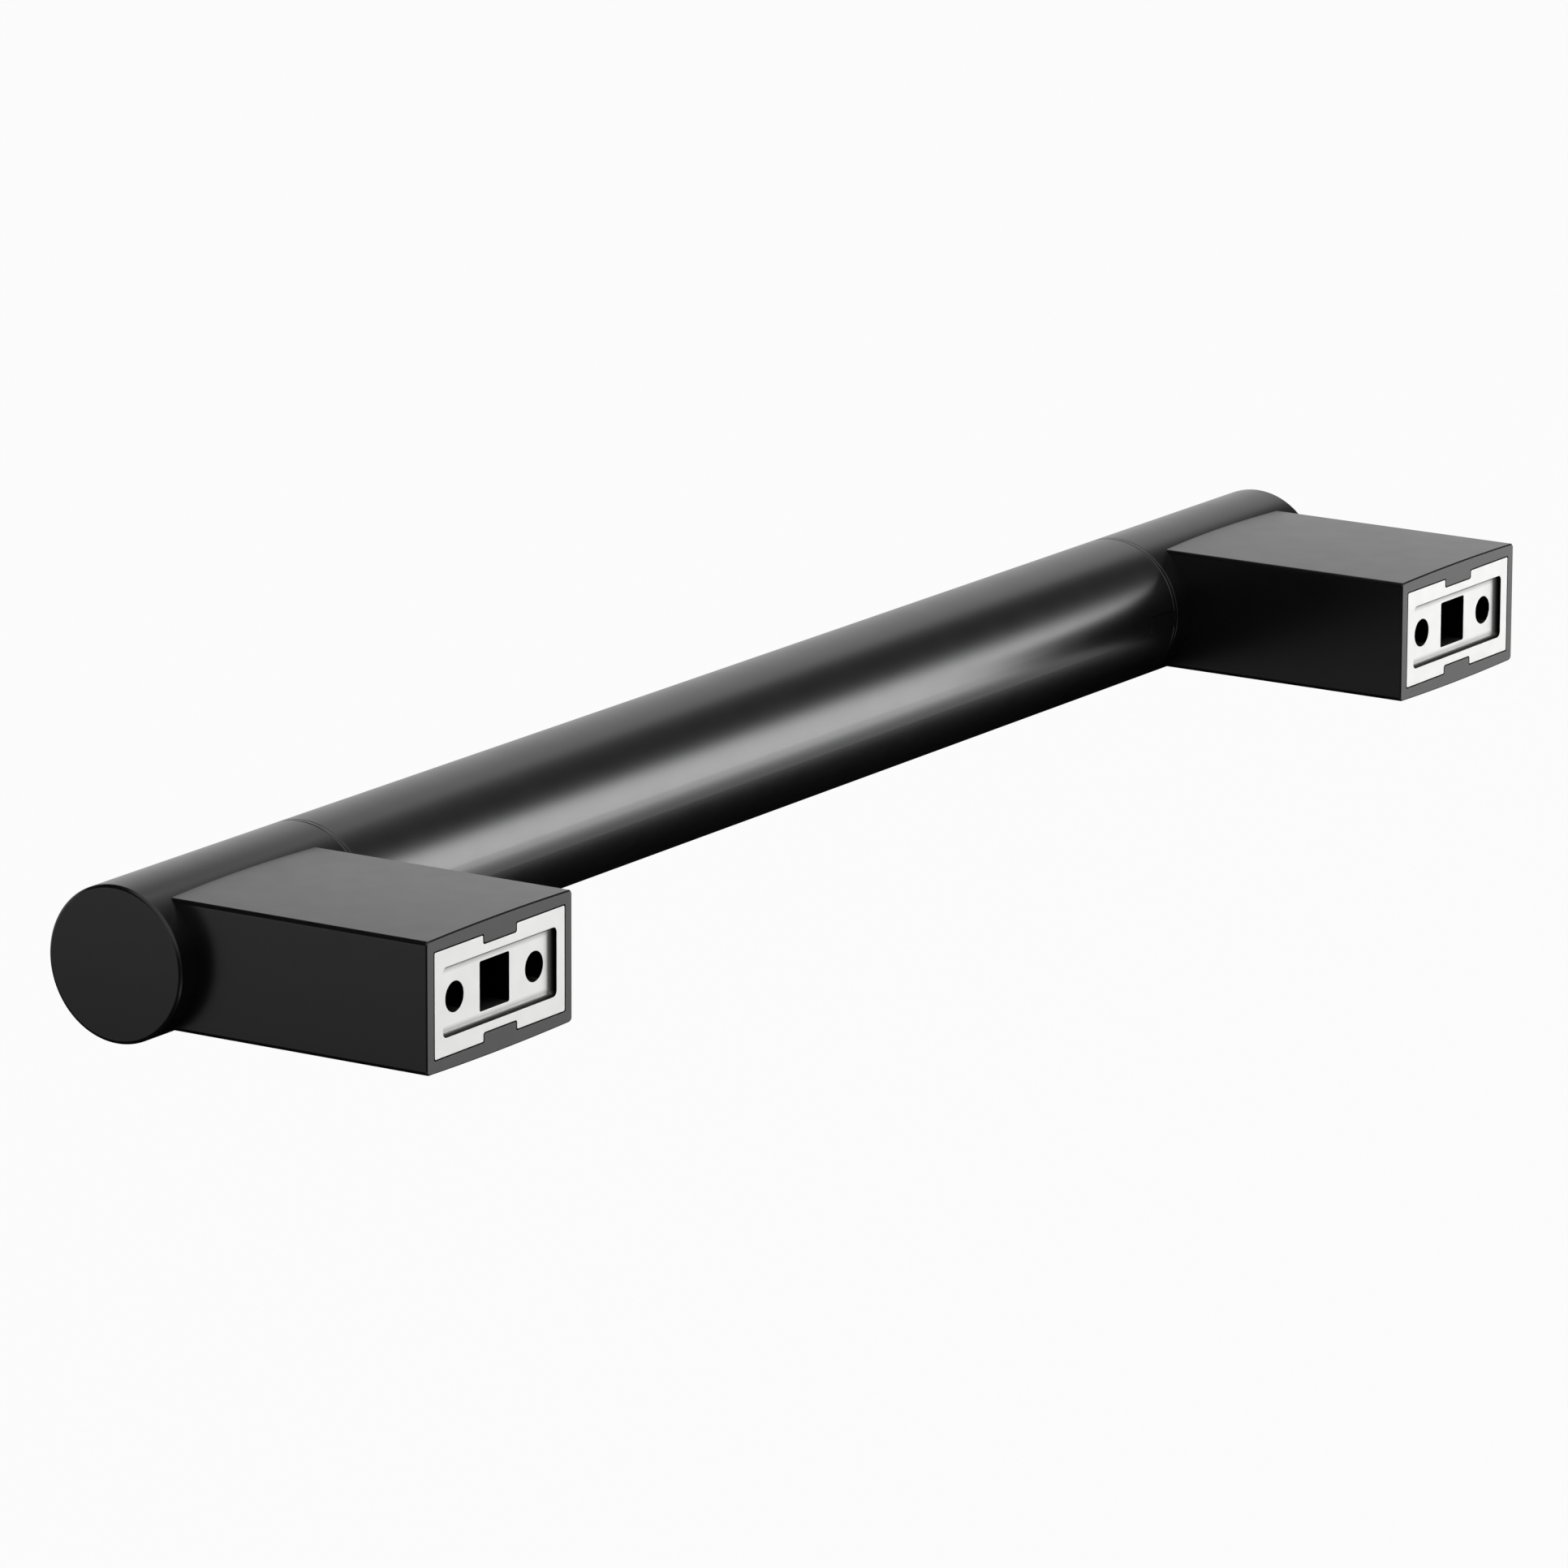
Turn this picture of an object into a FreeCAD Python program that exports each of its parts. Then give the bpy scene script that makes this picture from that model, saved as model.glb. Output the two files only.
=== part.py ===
import FreeCAD, Part
import os
import Sketcher
from FreeCAD import Placement, Rotation, Vector

# Straight grab bar with two box-section wall posts, in millimetres.
# The bar runs along X, Z is up and the wall is the plane Y = 0, with the room on the -Y side.
# The origin lies on the wall plane, midway between the two posts and level with the bar's axis.

doc = FreeCAD.newDocument("grab_bar")

# Driving dimensions: alias and value
SIZES = [
    # Layout of the whole bar
    ("overall_length", 450.0),
    ("post_inset", 32.0),
    ("wall_to_axis", 72.0),
    # Grip tube and the connector ring seen in the seam
    ("tube_diameter", 33.0),
    ("tube_wall", 2.0),
    ("ring_width", 1.25),
    # Closed barrel and post of the casting
    ("end_thickness", 4.0),
    ("rim_chamfer", 0.8),
    ("post_width", 51.2),
    ("post_height", 28.2),
    ("post_side_wall", 2.45),
    ("post_face_wall", 2.85),
    ("crown_rise", 0.35),
    ("post_corner_radius", 0.9),
    ("wall_edge_chamfer", 0.25),
    ("ledge_width", 1.0),
    ("web_thickness", 4.0),
    ("rib_width", 11.3),
    ("rib_rise", 1.9),
    # Wall plate, which fills the post's mouth
    ("plate_depth", 14.0),
    ("plate_clearance", 0.15),
    ("plate_corner_radius", 0.5),
    ("recess_side_wall", 3.0),
    ("recess_face_wall", 3.85),
    ("recess_depth", 1.4),
    ("recess_radius", 0.9),
    ("wall_hole_spacing", 28.0),
    ("wall_hole_diameter", 6.4),
    ("window_size", 10.4),
    ("window_corner_radius", 0.45),
    # Connector between tube and barrel
    ("spigot_clearance", 0.05),
    ("tube_spigot_length", 30.0),
    ("barrel_spigot_reach", 12.0),
    ("key_width", 3.8),
    ("key_length", 10.0),
    ("key_clearance", 0.1),
    # Connector screw, reached through the window of the wall plate
    ("connector_screw_diameter", 6.0),
    ("connector_screw_length", 16.0),
    ("connector_screw_hole", 6.6),
    ("connector_screw_head", 10.0),
    ("connector_screw_head_height", 6.0),
    ("connector_screw_socket", 5.0),
    ("connector_screw_socket_depth", 3.0),
    # Locking screw, which clamps the wall plate from below
    ("locking_screw_diameter", 6.0),
    ("locking_screw_length", 4.0),
    ("locking_screw_socket", 3.0),
    ("locking_screw_socket_depth", 2.0),
    ("thread_clearance", 0.05),
    ("thread_runout", 1.0),
]

sheet = doc.addObject("Spreadsheet::Sheet", "Sizes")
for row, (alias, size) in enumerate(SIZES, start=1):
    sheet.set("A%d" % row, alias.replace("_", " "))
    sheet.set("B%d" % row, str(size))
    sheet.setAlias("B%d" % row, alias)
doc.recompute()

# Places worked out from the driving dimensions, as formulas of the sheet
POST_X = "(Sizes.overall_length / 2 - Sizes.post_inset)"
TUBE_RADIUS = "(Sizes.tube_diameter / 2)"
BORE_RADIUS = "(Sizes.tube_diameter / 2 - Sizes.tube_wall)"
BARREL_LENGTH = "(2 * Sizes.post_inset)"
TUBE_LENGTH = "(Sizes.overall_length - 4 * Sizes.post_inset - 2 * Sizes.ring_width)"
CORNER_HEIGHT = "(Sizes.post_height / 2 - Sizes.crown_rise)"
CROWN_RADIUS = "((Sizes.post_width ^ 2 / 4 + Sizes.crown_rise ^ 2) / (2 * Sizes.crown_rise))"
MOUTH_WIDTH = "(Sizes.post_width - 2 * Sizes.post_side_wall)"
MOUTH_HEIGHT = "(Sizes.post_height - 2 * Sizes.post_face_wall)"
RIB_HEIGHT = "(%s / 2 - Sizes.rib_rise)" % MOUTH_HEIGHT
PLATE_WIDTH = "(%s - 2 * Sizes.plate_clearance)" % MOUTH_WIDTH
PLATE_HEIGHT = "(%s - 2 * Sizes.plate_clearance)" % MOUTH_HEIGHT
NOTCH_WIDTH = "(Sizes.rib_width + 2 * Sizes.plate_clearance)"
NOTCH_HEIGHT = "(%s - Sizes.plate_clearance)" % RIB_HEIGHT
RECESS_WIDTH = "(%s - 2 * Sizes.recess_side_wall)" % PLATE_WIDTH
RECESS_HEIGHT = "(%s - 2 * Sizes.recess_face_wall)" % PLATE_HEIGHT
CAVITY_DEPTH = "(Sizes.wall_to_axis - Sizes.tube_diameter / 2 + Sizes.tube_wall - Sizes.web_thickness)"
SPIGOT_RADIUS = "(Sizes.tube_diameter / 2 - Sizes.tube_wall - Sizes.spigot_clearance)"

# Differences of length that count as none: in sums, and between edges of a solid
SMALL = 1e-6
NEAR = 1e-3


def number(formula):
    # The value of a formula of the sheet, for a sketch's first drawing and for picking edges
    return float(sheet.evalExpression(formula))


def new_body(name, x="0", y="0", z="0", turned=False):
    # A body whose frame is set in place on the bar; turned gives it half a turn about Y
    body = doc.addObject("PartDesign::Body", name)
    body.Label = name
    body.Placement = Placement(Vector(0, 0, 0), Rotation(Vector(0, 1, 0), 180 if turned else 0))
    body.setExpression("Placement.Base.x", x)
    body.setExpression("Placement.Base.y", y)
    body.setExpression("Placement.Base.z", z)
    return body


def new_sketch(body, name, plane, offset="0"):
    # A sketch on one of the body's origin planes, moved along the plane's normal by the offset
    sketch = body.newObject("Sketcher::SketchObject", name)
    support = [item for item in body.Origin.OriginFeatures if item.Role == plane][0]
    sketch.AttachmentSupport = [(support, "")]
    sketch.MapMode = "FlatFace"
    sketch.setExpression("AttachmentOffset.Base.z", offset)
    return sketch


def pin(sketch, geometry, end, x, y):
    # Holds a point of the sketch at the place that the two formulas give
    for axis, axis_line, formula in (("X", -2, x), ("Y", -1, y)):
        place = number(formula)
        if abs(place) < SMALL:
            sketch.addConstraint(Sketcher.Constraint("PointOnObject", geometry, end, axis_line))
            continue
        ends = (-1, 1, geometry, end) if place > 0 else (geometry, end, -1, 1)
        held = sketch.addConstraint(Sketcher.Constraint("Distance" + axis, *ends, abs(place)))
        sketch.setExpression("Constraints[%d]" % held, formula if place > 0 else "-(%s)" % formula)


def draw_polygon(sketch, corners):
    # A closed outline of straight lines through corners given as pairs of formulas
    spots = [Vector(number(x), number(y), 0) for x, y in corners]
    count = len(corners)
    for index in range(count):
        sketch.addGeometry(Part.LineSegment(spots[index], spots[(index + 1) % count]), False)
    for index in range(count):
        sketch.addConstraint(Sketcher.Constraint("Coincident", index, 2, (index + 1) % count, 1))
    for index, (x, y) in enumerate(corners):
        pin(sketch, index, 1, x, y)


def draw_circle(sketch, x, y, diameter):
    middle = Vector(number(x), number(y), 0)
    circle = Part.Circle(middle, Vector(0, 0, 1), number(diameter) / 2)
    index = sketch.addGeometry(circle, False)
    pin(sketch, index, 3, x, y)
    held = sketch.addConstraint(Sketcher.Constraint("Diameter", index, number(diameter)))
    sketch.setExpression("Constraints[%d]" % held, diameter)


def draw_crowned(sketch, half_width, corner_height, radius):
    # Two upright sides joined by two shallow arcs, which bow outwards
    corners = [(half_width, "-" + corner_height), (half_width, corner_height),
               ("-" + half_width, corner_height), ("-" + half_width, "-" + corner_height)]
    spots = [Vector(number(x), number(y), 0) for x, y in corners]
    drop = number(radius) ** 2 - number(half_width) ** 2
    centre = Vector(0, number(corner_height) - drop ** 0.5, 0)
    sketch.addGeometry(Part.LineSegment(spots[0], spots[1]), False)
    draw_arc(sketch, centre, spots[1], spots[2])
    sketch.addGeometry(Part.LineSegment(spots[2], spots[3]), False)
    draw_arc(sketch, centre * -1, spots[3], spots[0])
    for index in range(4):
        sketch.addConstraint(Sketcher.Constraint("Coincident", index, 2, (index + 1) % 4, 1))
    for index in (0, 2):
        pin(sketch, index, 1, *corners[index])
        pin(sketch, index, 2, *corners[index + 1])
    for index in (1, 3):
        held = sketch.addConstraint(Sketcher.Constraint("Radius", index, number(radius)))
        sketch.setExpression("Constraints[%d]" % held, radius)


def draw_arc(sketch, centre, start, end):
    # An arc from start round to end, anticlockwise about the centre
    circle = Part.Circle(centre, Vector(0, 0, 1), (start - centre).Length)
    arc = Part.ArcOfCircle(circle, circle.parameter(start), circle.parameter(end))
    sketch.addGeometry(arc, False)


def rectangle(half_width, half_height):
    return [(half_width, "-" + half_height), (half_width, half_height),
            ("-" + half_width, half_height), ("-" + half_width, "-" + half_height)]


def notched(half_width, half_height, half_notch, notch_height):
    # A rectangle with one notch in the middle of its top and one in the middle of its bottom
    upper = [(half_width, half_height), (half_notch, half_height), (half_notch, notch_height),
             ("-" + half_notch, notch_height), ("-" + half_notch, half_height),
             ("-" + half_width, half_height)]
    lower = [(x, "-" + y) for x, y in reversed(upper)]
    return upper + lower


def hexagon(across_flats):
    # Corners of a hexagonal socket, with one corner on the sketch's first axis
    reach = "(%s / sqrt(3))" % across_flats
    half_reach = "(%s / sqrt(12))" % across_flats
    half_flat = "(%s / 2)" % across_flats
    right = [(half_reach, "-" + half_flat), (reach, "0"), (half_reach, half_flat)]
    left = [("-" + half_reach, half_flat), ("-" + reach, "0"), ("-" + half_reach, "-" + half_flat)]
    return right + left


def pad(body, name, sketch, length, symmetric=False, backwards=False):
    feature = body.newObject("PartDesign::Pad", name)
    feature.Profile = sketch
    feature.SideType = "Symmetric" if symmetric else "One side"
    feature.Reversed = backwards
    feature.setExpression("Length", length)
    doc.recompute()
    return feature


def pocket(body, name, sketch, depth, backwards=False):
    # Sinks the sketch along its own normal, or against it, and makes sure that it cut something
    before = body.Shape.Volume
    feature = body.newObject("PartDesign::Pocket", name)
    feature.Profile = sketch
    feature.Reversed = not backwards
    feature.setExpression("Length", depth)
    doc.recompute()
    if not body.Shape.Volume < before - SMALL:
        raise ValueError(name + " cuts nothing from " + body.Label)
    return feature


def revolve(body, name, sketch, axis):
    feature = body.newObject("PartDesign::Revolution", name)
    feature.Profile = sketch
    feature.ReferenceAxis = (sketch, [axis])
    feature.Angle = 360
    doc.recompute()
    return feature


def mirror(body, name, features, plane):
    # Repeats features on the other side of one of the body's origin planes
    before = body.Shape.Volume
    support = [item for item in body.Origin.OriginFeatures if item.Role == plane][0]
    feature = body.newObject("PartDesign::Mirrored", name)
    feature.Originals = features
    feature.MirrorPlane = (support, [""])
    body.Tip = feature
    doc.recompute()
    if not body.Shape.Volume < before - SMALL:
        raise ValueError(name + " cuts nothing from " + body.Label)
    return feature


def dress(body, kind, name, test, size_name, size):
    # A fillet or chamfer on the edges of the body's last feature that pass the test
    base = body.Tip
    edges = ["Edge%d" % (index + 1) for index, edge in enumerate(base.Shape.Edges)
             if not edge.Degenerated and test(edge)]
    if not edges:
        raise ValueError(name + " finds no edge on " + body.Label)
    feature = body.newObject("PartDesign::" + kind, name)
    feature.Base = (base, edges)
    feature.setExpression(size_name, size)
    doc.recompute()
    return feature


def fillet(body, name, test, radius):
    return dress(body, "Fillet", name, test, "Radius", radius)


def chamfer(body, name, test, size):
    return dress(body, "Chamfer", name, test, "Size", size)


def straight_along_y(edge):
    if not isinstance(edge.Curve, (Part.Line, Part.LineSegment)):
        return False
    return abs(edge.tangentAt(edge.FirstParameter).y) > 1 - SMALL


def upright_at(edge, half_width):
    # Whether the edge runs straight along Y at that distance from the body's middle plane
    return straight_along_y(edge) and abs(abs(edge.BoundBox.Center.x) - half_width) < NEAR


def on_plane(edge, axis, place):
    # Whether the whole edge lies in the plane where the coordinate on that axis has one value
    box = edge.BoundBox
    low = getattr(box, axis + "Min")
    high = getattr(box, axis + "Max")
    return abs(low - place) < NEAR and abs(high - place) < NEAR


def within(edge, half_width, half_height):
    # Whether the edge lies inside the rectangle about the body's Y axis
    box = edge.BoundBox
    return (max(abs(box.XMin), abs(box.XMax)) < half_width + NEAR
            and max(abs(box.ZMin), abs(box.ZMax)) < half_height + NEAR)


# Bracket: one casting, with a closed barrel that carries the bar and a hollow post to the wall.
# The same casting serves both ends, turned over, with the locking hole drilled from below.
# Its own origin is the post's centre on the wall plane, and the closed end is towards +X.
def make_bracket(name, side):
    body = new_body(name, x="%d * %s" % (side, POST_X), turned=side < 0)
    axis_height = "-Sizes.wall_to_axis"

    post_section = new_sketch(body, name + "_post_section", "XZ_Plane")
    draw_crowned(post_section, "(Sizes.post_width / 2)", CORNER_HEIGHT, CROWN_RADIUS)
    pad(body, name + "_post", post_section, "Sizes.wall_to_axis")
    fillet(body, name + "_post_corners", straight_along_y, "Sizes.post_corner_radius")

    barrel_section = new_sketch(body, name + "_barrel_section", "YZ_Plane")
    draw_circle(barrel_section, axis_height, "0", "Sizes.tube_diameter")
    pad(body, name + "_barrel", barrel_section, BARREL_LENGTH, symmetric=True)

    closed_end = number(BARREL_LENGTH) / 2
    chamfer(body, name + "_rim", lambda edge: on_plane(edge, "X", closed_end), "Sizes.rim_chamfer")

    bore_section = new_sketch(body, name + "_bore_section", "YZ_Plane", "-Sizes.post_inset")
    draw_circle(bore_section, axis_height, "0", "2 * " + BORE_RADIUS)
    pocket(body, name + "_bore", bore_section, BARREL_LENGTH + " - Sizes.end_thickness")

    core_outline = notched("(%s / 2 - Sizes.ledge_width)" % MOUTH_WIDTH,
                           "(%s / 2 - Sizes.ledge_width)" % MOUTH_HEIGHT,
                           "(Sizes.rib_width / 2)", RIB_HEIGHT)
    core_section = new_sketch(body, name + "_core_section", "XZ_Plane")
    draw_polygon(core_section, core_outline)
    pocket(body, name + "_core", core_section, CAVITY_DEPTH)

    mouth_outline = notched("(%s / 2)" % MOUTH_WIDTH, "(%s / 2)" % MOUTH_HEIGHT,
                            "(Sizes.rib_width / 2)", RIB_HEIGHT)
    mouth_section = new_sketch(body, name + "_mouth_section", "XZ_Plane")
    draw_polygon(mouth_section, mouth_outline)
    pocket(body, name + "_mouth", mouth_section, "Sizes.plate_depth")

    mouth_half_width = number(MOUTH_WIDTH) / 2
    mouth_half_height = number(MOUTH_HEIGHT) / 2
    fillet(body, name + "_mouth_corners",
           lambda edge: upright_at(edge, mouth_half_width),
           "Sizes.plate_corner_radius")
    chamfer(body, name + "_wall_edge",
            lambda edge: on_plane(edge, "Y", 0) and not within(edge, mouth_half_width, mouth_half_height),
            "Sizes.wall_edge_chamfer")

    web_hole = new_sketch(body, name + "_web_hole_section", "XZ_Plane")
    draw_circle(web_hole, "0", "0", "Sizes.connector_screw_hole")
    pocket(body, name + "_web_hole", web_hole, "Sizes.wall_to_axis")

    locking_hole = new_sketch(body, name + "_locking_hole_section", "XY_Plane")
    draw_circle(locking_hole, "0", "-(Sizes.plate_depth / 2)", "Sizes.locking_screw_diameter")
    pocket(body, name + "_locking_hole", locking_hole, "Sizes.post_height", backwards=side > 0)
    return body


# Wall plate: the bright insert that is screwed to the wall and fills the post's mouth.
# Its own origin is the post's centre on the wall plane.
def make_wall_plate(name, side):
    body = new_body(name, x="%d * %s" % (side, POST_X))

    outline = new_sketch(body, name + "_outline", "XZ_Plane")
    draw_polygon(outline, notched("(%s / 2)" % PLATE_WIDTH, "(%s / 2)" % PLATE_HEIGHT,
                                  "(%s / 2)" % NOTCH_WIDTH, NOTCH_HEIGHT))
    pad(body, name + "_block", outline, "Sizes.plate_depth")
    half_plate = number(PLATE_WIDTH) / 2
    fillet(body, name + "_corners", lambda edge: upright_at(edge, half_plate), "Sizes.plate_corner_radius")

    recess_section = new_sketch(body, name + "_recess_section", "XZ_Plane")
    draw_polygon(recess_section, rectangle("(%s / 2)" % RECESS_WIDTH, "(%s / 2)" % RECESS_HEIGHT))
    pocket(body, name + "_recess", recess_section, "Sizes.recess_depth")
    half_width = number(RECESS_WIDTH) / 2
    half_height = number(RECESS_HEIGHT) / 2
    floor = -number("Sizes.recess_depth")
    fillet(body, name + "_recess_corners", lambda edge: upright_at(edge, half_width), "Sizes.recess_radius")
    fillet(body, name + "_recess_floor",
           lambda edge: on_plane(edge, "Y", floor) and within(edge, half_width, half_height),
           "Sizes.recess_radius")

    window_section = new_sketch(body, name + "_window_section", "XZ_Plane")
    draw_polygon(window_section, rectangle("(Sizes.window_size / 2)", "(Sizes.window_size / 2)"))
    pocket(body, name + "_window", window_section, "Sizes.plate_depth")
    half_window = number("Sizes.window_size") / 2
    fillet(body, name + "_window_corners",
           lambda edge: upright_at(edge, half_window),
           "Sizes.window_corner_radius")

    hole_section = new_sketch(body, name + "_hole_section", "XZ_Plane")
    draw_circle(hole_section, "(Sizes.wall_hole_spacing / 2)", "0", "Sizes.wall_hole_diameter")
    hole = pocket(body, name + "_hole", hole_section, "Sizes.plate_depth")
    mirror(body, name + "_second_hole", [hole], "YZ_Plane")
    return body


# Grip tube, with a slot at each end for the connectors' keys.
# Its own origin is the middle of its axis.
def make_grip_tube(name):
    body = new_body(name, y="-Sizes.wall_to_axis")
    section = new_sketch(body, name + "_section", "YZ_Plane")
    draw_circle(section, "0", "0", "Sizes.tube_diameter")
    draw_circle(section, "0", "0", "2 * " + BORE_RADIUS)
    pad(body, name + "_wall", section, TUBE_LENGTH, symmetric=True)

    slot_half_width = "(Sizes.key_width / 2 + Sizes.key_clearance)"
    slot_section = new_sketch(body, name + "_slot_section", "YZ_Plane", TUBE_LENGTH + " / 2")
    draw_polygon(slot_section, [
        (SPIGOT_RADIUS + " / 2", "-" + slot_half_width), (TUBE_RADIUS + " * 2", "-" + slot_half_width),
        (TUBE_RADIUS + " * 2", slot_half_width), (SPIGOT_RADIUS + " / 2", slot_half_width)])
    slot_length = "Sizes.key_length + Sizes.key_clearance"
    slot = pocket(body, name + "_slot", slot_section, slot_length, backwards=True)
    mirror(body, name + "_second_slot", [slot], "YZ_Plane")
    return body


# Connector: a stepped plug whose spigots fill the tube's end and the barrel.
# Its ring is flush between tube and barrel, and a key on the wall side stops the tube turning.
# Its own origin is the point of the bar's axis behind the post's centre.
def make_connector(name, side):
    body = new_body(name, x="%d * %s" % (side, POST_X), y="-Sizes.wall_to_axis", turned=side < 0)
    barrel_end = "Sizes.barrel_spigot_reach"
    ring_outer = "-Sizes.post_inset"
    ring_inner = "-(Sizes.post_inset + Sizes.ring_width)"
    tube_end = "-(Sizes.post_inset + Sizes.ring_width + Sizes.tube_spigot_length)"
    profile = new_sketch(body, name + "_profile", "XY_Plane")
    draw_polygon(profile, [
        (tube_end, "0"),
        (tube_end, SPIGOT_RADIUS),
        (ring_inner, SPIGOT_RADIUS),
        (ring_inner, TUBE_RADIUS),
        (ring_outer, TUBE_RADIUS),
        (ring_outer, SPIGOT_RADIUS),
        (barrel_end, SPIGOT_RADIUS),
        (barrel_end, "0")])
    revolve(body, name + "_plug", profile, "H_Axis")

    # The key's outer face follows the tube's surface
    key_half_width = "(Sizes.key_width / 2)"
    key_section = new_sketch(body, name + "_key_section", "YZ_Plane", ring_inner)
    root = "(%s - Sizes.tube_wall / 2)" % SPIGOT_RADIUS
    edge_reach = "sqrt(%s ^ 2 - Sizes.key_width ^ 2 / 4)" % TUBE_RADIUS
    corners = [(edge_reach, "-" + key_half_width), (edge_reach, key_half_width),
               (root, key_half_width), (root, "-" + key_half_width)]
    spots = [Vector(number(x), number(y), 0) for x, y in corners]
    draw_arc(key_section, Vector(0, 0, 0), spots[0], spots[1])
    for index in (1, 2, 3):
        key_section.addGeometry(Part.LineSegment(spots[index], spots[(index + 1) % 4]), False)
    for index in range(4):
        key_section.addConstraint(Sketcher.Constraint("Coincident", index, 2, (index + 1) % 4, 1))
    pin(key_section, 0, 3, "0", "0")
    pin(key_section, 2, 1, *corners[2])
    pin(key_section, 3, 1, *corners[3])
    for index in (1, 3):
        key_section.addConstraint(Sketcher.Constraint("Horizontal", index))
    held = key_section.addConstraint(Sketcher.Constraint("Radius", 0, number(TUBE_RADIUS)))
    key_section.setExpression("Constraints[%d]" % held, TUBE_RADIUS)
    pad(body, name + "_key", key_section, "Sizes.key_length", backwards=True)

    screw_hole = new_sketch(body, name + "_screw_hole_section", "XZ_Plane", "-" + TUBE_RADIUS)
    draw_circle(screw_hole, "0", "0", "Sizes.connector_screw_diameter")
    tip_height = "(Sizes.wall_to_axis - %s - Sizes.connector_screw_length)" % CAVITY_DEPTH
    pocket(body, name + "_screw_hole", screw_hole,
           "%s - %s + Sizes.thread_runout" % (TUBE_RADIUS, tip_height))
    return body


# Connector screw: a socket head cap screw, from the post's cavity through the web into the connector.
# Its own origin is the seat under its head, and it points along -Y.
def make_connector_screw(name, side):
    body = new_body(name, x="%d * %s" % (side, POST_X), y="-" + CAVITY_DEPTH)
    shank_radius = "(Sizes.connector_screw_diameter / 2 - Sizes.thread_clearance)"
    head_radius = "(Sizes.connector_screw_head / 2)"
    tip = "-Sizes.connector_screw_length"
    profile = new_sketch(body, name + "_profile", "XY_Plane")
    draw_polygon(profile, [
        ("0", tip),
        (shank_radius, tip),
        (shank_radius, "0"),
        (head_radius, "0"),
        (head_radius, "Sizes.connector_screw_head_height"),
        ("0", "Sizes.connector_screw_head_height")])
    revolve(body, name + "_turned", profile, "V_Axis")
    socket = new_sketch(body, name + "_socket_section", "XZ_Plane", "-Sizes.connector_screw_head_height")
    draw_polygon(socket, hexagon("Sizes.connector_screw_socket"))
    pocket(body, name + "_socket", socket, "Sizes.connector_screw_socket_depth")
    return body


# Locking screw: a socket set screw in the lower rib, whose tip presses on the wall plate's lower notch.
# Its own origin is its tip, and it points upwards.
def make_locking_screw(name, side):
    body = new_body(name, x="%d * %s" % (side, POST_X), y="-Sizes.plate_depth / 2", z="-" + NOTCH_HEIGHT)
    radius = "(Sizes.locking_screw_diameter / 2 - Sizes.thread_clearance)"
    outer_end = "-Sizes.locking_screw_length"
    section = new_sketch(body, name + "_section", "XY_Plane")
    draw_circle(section, "0", "0", "2 * " + radius)
    pad(body, name + "_shank", section, "Sizes.locking_screw_length", backwards=True)
    socket = new_sketch(body, name + "_socket_section", "XY_Plane", outer_end)
    draw_polygon(socket, hexagon("Sizes.locking_screw_socket"))
    pocket(body, name + "_socket", socket, "Sizes.locking_screw_socket_depth")
    return body


pieces = [make_grip_tube("grip_tube")]
for hand, side in (("left", -1), ("right", 1)):
    pieces.append(make_bracket(hand + "_bracket", side))
    pieces.append(make_connector(hand + "_connector", side))
    pieces.append(make_wall_plate(hand + "_wall_plate", side))
    pieces.append(make_connector_screw(hand + "_connector_screw", side))
    pieces.append(make_locking_screw(hand + "_locking_screw", side))
doc.recompute()

# Nothing is written unless every feature and every piece is sound
for item in doc.Objects:
    if "Invalid" in item.State or "Error" in item.State:
        raise ValueError(item.Label + " did not rebuild")
for piece in pieces:
    if piece.Shape.isNull() or not piece.Shape.isValid() or len(piece.Shape.Solids) != 1:
        raise ValueError(piece.Label + " is not one sound solid")

os.makedirs("parts", exist_ok=True)
for piece in pieces:
    piece.Shape.exportStep("parts/%s.step" % piece.Label)
    print("%-24s %9.1f mm3" % (piece.Label, piece.Shape.Volume))
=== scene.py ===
from math import asin, cos, pi, radians, sin

import bmesh
import bpy
from mathutils import Matrix, Vector


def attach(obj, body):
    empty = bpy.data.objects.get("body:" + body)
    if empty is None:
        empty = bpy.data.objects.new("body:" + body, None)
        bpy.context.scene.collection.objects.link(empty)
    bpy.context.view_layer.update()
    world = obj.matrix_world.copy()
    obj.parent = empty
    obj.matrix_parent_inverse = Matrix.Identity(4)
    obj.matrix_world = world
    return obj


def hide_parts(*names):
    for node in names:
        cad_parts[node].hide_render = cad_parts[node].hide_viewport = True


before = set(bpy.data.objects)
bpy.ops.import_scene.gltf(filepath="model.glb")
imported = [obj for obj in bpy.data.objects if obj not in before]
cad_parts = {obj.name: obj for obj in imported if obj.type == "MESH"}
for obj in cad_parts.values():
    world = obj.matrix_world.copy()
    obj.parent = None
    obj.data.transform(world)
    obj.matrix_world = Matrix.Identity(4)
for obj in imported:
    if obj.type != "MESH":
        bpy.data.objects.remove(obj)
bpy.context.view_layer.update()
print("frame loaded")

mm = 0.001
sides = {"left": -1, "right": 1}
postX, axisY, tubeRadius = 193.0, -72.0, 16.5  # where the posts and the bar lie, as in the solids
sharpAngle = radians(25)
tiny, mergeDistance = 1e-6, 1e-4
drillSegments, flatWeight = 64, 90


# small helpers for building in millimetres

def lonelyFace(bm, corners, radius, segments):
    # flat outline with rounded corners, as one face that nothing else touches
    face = bm.faces.new([bm.verts.new(corner) for corner in corners])
    others = set(bm.faces) - {face}
    bmesh.ops.bevel(bm, geom=list(face.verts), affect="VERTICES", offset=radius, segments=segments,
                    profile=0.5, material=-1)
    return (set(bm.faces) - others).pop()


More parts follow.
